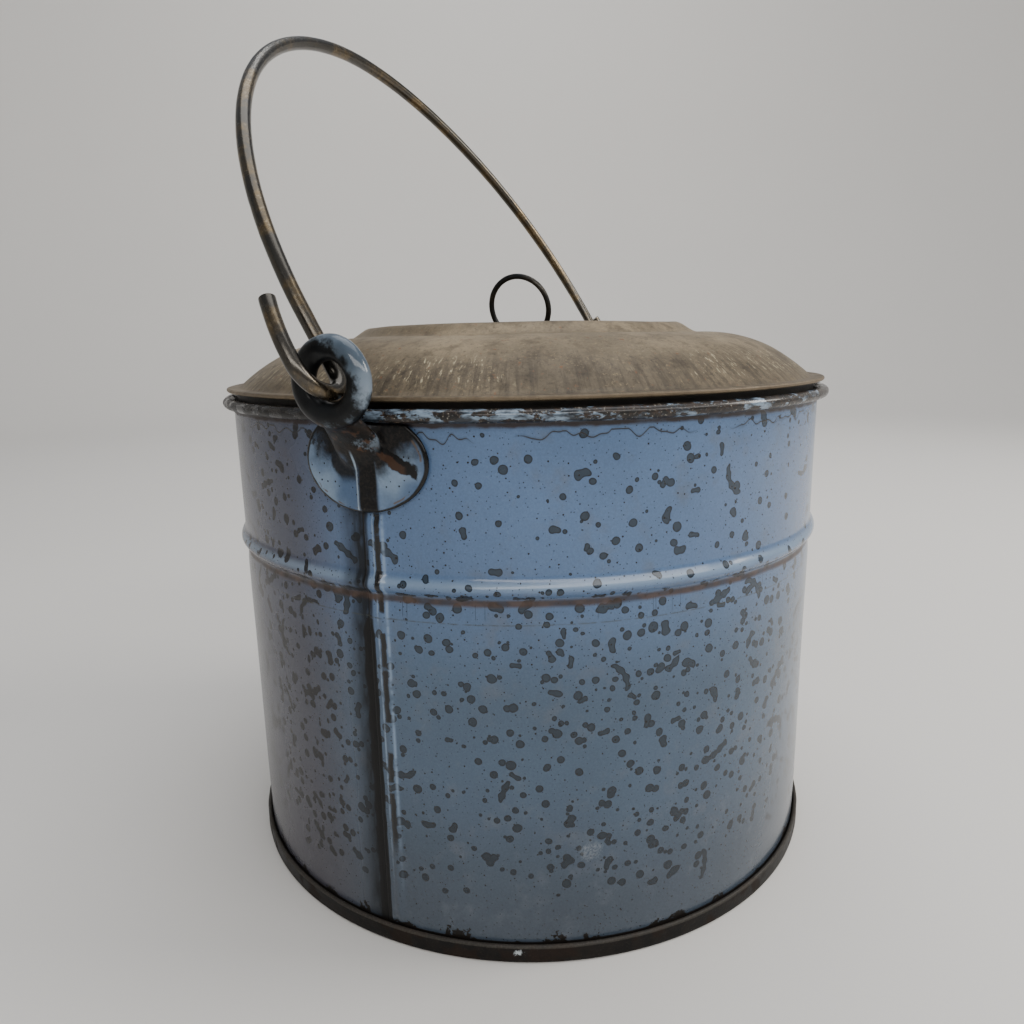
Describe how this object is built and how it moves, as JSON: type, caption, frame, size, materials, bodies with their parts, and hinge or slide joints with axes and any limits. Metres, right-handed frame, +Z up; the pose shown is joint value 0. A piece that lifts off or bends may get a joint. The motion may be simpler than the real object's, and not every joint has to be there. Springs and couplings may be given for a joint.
{
  "type": "milk pail",
  "caption": "Round enamelled sheet-metal pail with a swinging wire bail on two side ears and a lift-off tin lid with a fold-down ring handle.",
  "frame": {"origin": "centre of the foot ring, on the surface that the pail stands on", "axes": "+Z up along the pail's axis; X through the two ears and the bail's pivots, the side seam under the -X ear; the bail leans towards +Y"},
  "size_m": [0.2304, 0.1964, 0.2601],
  "materials": {
    "blue_grey_enamel": "glossy blue-grey vitreous enamel with darker grey-blue spots, pin dots and worn black edges",
    "black_enamel": "glossy black edge enamel, chipped to bare steel in places",
    "ear_enamel": "black enamel mottled with blue-white, worn brown where the ear meets the wall",
    "bail_steel": "dark drawn steel wire with brown patina and bright rubbed streaks",
    "rim_wire_steel": "plain drawn wire",
    "old_tin": "tarnished brown-grey tinplate, streaked and lightly rusted",
    "ring_steel": "dark oxidised wire"
  },
  "bodies": {
    "pail": {"body_wall": "blue_grey_enamel", "bottom_pan": "black_enamel", "rim_wire": "rim_wire_steel", "ear_left": "ear_enamel", "ear_right": "ear_enamel"},
    "bail": {"bail": "bail_steel"},
    "lid": {"lid_cover": "old_tin", "lid_collar": "old_tin", "ring_strap": "old_tin"},
    "ring": {"ring_handle": "ring_steel"}
  },
  "joints": [
    {"name": "bail_swing", "type": "hinge", "parent": "pail", "child": "bail", "pos_m": [0, 0, 0.1504], "axis": [-1, 0, 0], "range_deg": [-154, 94]},
    {"name": "lid_lift", "type": "slide", "parent": "pail", "child": "lid", "axis": [0, 0, 1], "range_m": [0, 0.04]},
    {"name": "ring_fold", "type": "hinge", "parent": "lid", "child": "ring", "pos_m": [0, 0, 0.1642], "axis": [0, -1, 0], "range_deg": [-94, 64]}
  ]
}
